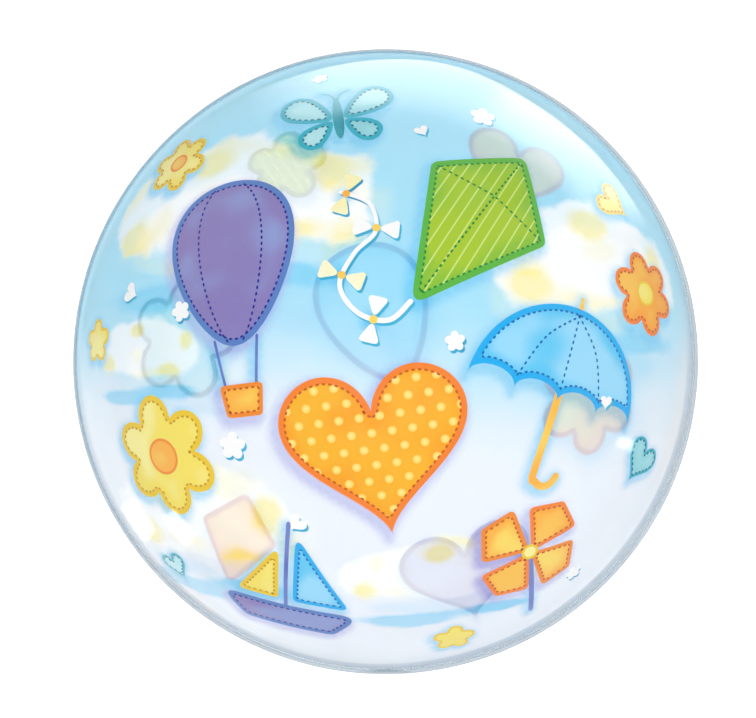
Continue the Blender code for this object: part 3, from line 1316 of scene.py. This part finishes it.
def rim_card():
    """A glowing card under the balloon whose painted reflection tones the film's rim: dark grey shade at the
    lower right, sky blue above.
    """
    card = side_card("rim_card", 0.0, flag_edge, -180, 180, 0.004, 0.004)
    mix = Recipe("rim_card")
    x, y, reach = floor_place(mix)
    slant = mix.plus(mix.times(x, -0.45), mix.times(y, 0.89))
    out = mix.ranged(reach, 0.36, 0.42)
    # Painted shade in the rim's reflection: nearly black under the ball, grey further out
    below = mix.blend(out, (0.02, 0.04, 0.07), (0.26, 0.32, 0.40))
    below = mix.blend(mix.ranged(x, 0.05, -0.22), below, (0.28, 0.33, 0.40))
    above = mix.blend(out, (0.12, 0.32, 0.48), (0.42, 0.66, 0.80))
    tone = mix.blend(mix.ranged(slant, -0.10, 0.20), below, above)
    card.data.materials.append(mix.glow(tone, 1.0))


def light_cards():
    """The lights that the film mirrors: a crescent above, panes at the sides and soft ones below.

    Each has its near and far edge, the angles where it starts and ends, its strength and its soft ends.
    """
    light_card("upper_light", 0.46, 1.9, 30, 122, 2.8, 26.0, 0.85, near_share=0.8,
               near_edge=crescent_edge, height_near=0.01, height_far=0.22)
    light_card("right_light", 0.54, 1.9, 27, 72, 2.2, 9.0, near_share=0.8, height_near=0.012,
               height_far=0.14)
    light_card("low_light", 0.44, 1.6, -125, -20, 0.22, 30.0)
    light_card("edge_light", 0.436, 0.52, -80, 0, 0.4, 24.0, height_near=0.006, height_far=0.006)
    light_card("pane_right", 1.05, 1.9, -21, -17, 4.5, 1.6, soft_far=0.4)
    light_card("pane_near", 0.48, 0.74, 207, 216, 5.0, 2.0, soft_far=0.2)
    light_card("pane_far", 0.95, 1.6, 214, 223, 5.0, 2.0, soft_far=0.2)
    light_card("left_light", 0.45, 1.0, 168, 262, 0.7, 20.0)


def studio_world(strength):
    """Light from all round, and less of it from overhead."""
    world = bpy.data.worlds.new("studio")
    bpy.context.scene.world = world
    world.use_nodes = True
    sky = Tree(world.node_tree)
    up = sky.parts(sky.add("TexCoord", out="Generated"))["Z"]
    power = sky.linear(up, 0.15, 0.85, strength, strength * 0.18)
    sky.put(world.node_tree.nodes["Background"], {"Color": WHITE, "Strength": power})


def pale_floor():
    corners = [(x * FLOOR_REACH, y * FLOOR_REACH, -FLOOR_DEPTH)
               for x, y in ((-1, -1), (1, -1), (1, 1), (-1, 1))]
    floor = plain_mesh("floor", corners, [(0, 1, 2, 3)])
    mix = Recipe("floor_paper")
    tone = mix.blend(mix.ranged(mix.noise(2.0), 0.3, 0.7), shade("F6F7F8"), shade("FBFBFB"))
    mix.put(mix.shader, {"Base Color": tone, "Roughness": 0.9, "Emission Color": WHITE,
                         "Emission Strength": 0.5})
    floor.data.materials.append(mix.material)


def lamp(name, kind, power, place, **values):
    """A lamp that the film doesn't mirror."""
    light = bpy.data.lights.new(name, kind)
    light.energy = power
    for label, value in values.items():
        setattr(light, label, value)
    held = new_object(name, light)
    held.location = place
    held.visible_glossy = False
    return held


def photo_camera(stage):
    """The camera, which looks down on the balloon and leans a little to one side."""
    camera = bpy.data.cameras.new("camera")
    camera.sensor_width = SENSOR_WIDTH
    camera.lens = SENSOR_WIDTH * OUTLINE_RADIUS / PICTURE_WIDTH * stage.camera_distance / OUTER_RADIUS
    camera.clip_start = 0.05
    camera.clip_end = 50
    camera.shift_x, camera.shift_y = (shift / PICTURE_WIDTH for shift in MIDDLE_SHIFT)
    lean, way = stage.camera_lean, stage.camera_side
    back = Vector((math.sin(lean) * math.cos(way), math.sin(lean) * math.sin(way), math.cos(lean)))
    right = Vector((1, 0, 0))
    right = (right - right.dot(back) * back).normalized()
    eye = new_object("camera", camera)
    eye.location = ball_centre() + back * stage.camera_distance
    eye.rotation_euler = Matrix((right, back.cross(right), back)).transposed().to_euler()
    bpy.context.scene.camera = eye


class BALLOON_OT_stage(Operator):
    """Makes the pale floor, the soft lamps and the camera."""

    bl_idname = "balloon.stage"
    bl_label = "Stage"

    def execute(self, context):
        stage = context.scene.balloon_stage
        context.scene.view_settings.view_transform = "Standard"
        studio_world(stage.world_strength)
        pale_floor()
        key = lamp("key", "AREA", stage.key_power, KEY_PLACE, size=KEY_SIZE)
        key.rotation_euler = (Vector(KEY_TARGET) - key.location).to_track_quat("-Z", "Y").to_euler()

        # Real ink lets light through softly, which plain see-through can't; this lamp stands for it
        inner = lamp("inner", "POINT", INNER_POWER, ball_centre(), shadow_soft_size=INNER_SIZE)
        inner.visible_camera = False
        dim_surround()
        rim_card()
        light_cards()
        photo_camera(stage)
        return {"FINISHED"}


class BALLOON_PT_panel(Panel):
    """Lists the balloon's sizes and the operators that make its pieces."""

    bl_idname = "BALLOON_PT_panel"
    bl_label = "Bubble balloon"
    bl_space_type = "VIEW_3D"
    bl_region_type = "UI"
    bl_category = "Balloon"

    def draw(self, context):
        for name, kind in GROUPS.items():
            box = self.layout.box()
            for size in kind.__annotations__:
                box.prop(getattr(context.scene, name), size)
        for operator in OPERATORS:
            self.layout.operator(operator.bl_idname)


GROUPS = {"balloon_film": FilmSizes, "balloon_print": PrintSizes, "balloon_inks": InkColours,
          "balloon_stage": StageSettings}
OPERATORS = (BALLOON_OT_stage, BALLOON_OT_film, BALLOON_OT_seam, BALLOON_OT_tail, BALLOON_OT_stitches)
CLASSES = (*GROUPS.values(), *OPERATORS, BALLOON_PT_panel)


def register():
    for cls in CLASSES:
        bpy.utils.register_class(cls)
    for name, group in GROUPS.items():
        setattr(bpy.types.Scene, name, PointerProperty(type=group))


def unregister():
    for name in GROUPS:
        delattr(bpy.types.Scene, name)
    for cls in reversed(CLASSES):
        bpy.utils.unregister_class(cls)


def main():
    register()
    bpy.ops.balloon.stage()
    bpy.ops.balloon.film()
    bpy.ops.balloon.seam()
    bpy.ops.balloon.tail()
    bpy.ops.balloon.stitches()


if __name__ == "__main__":
    main()
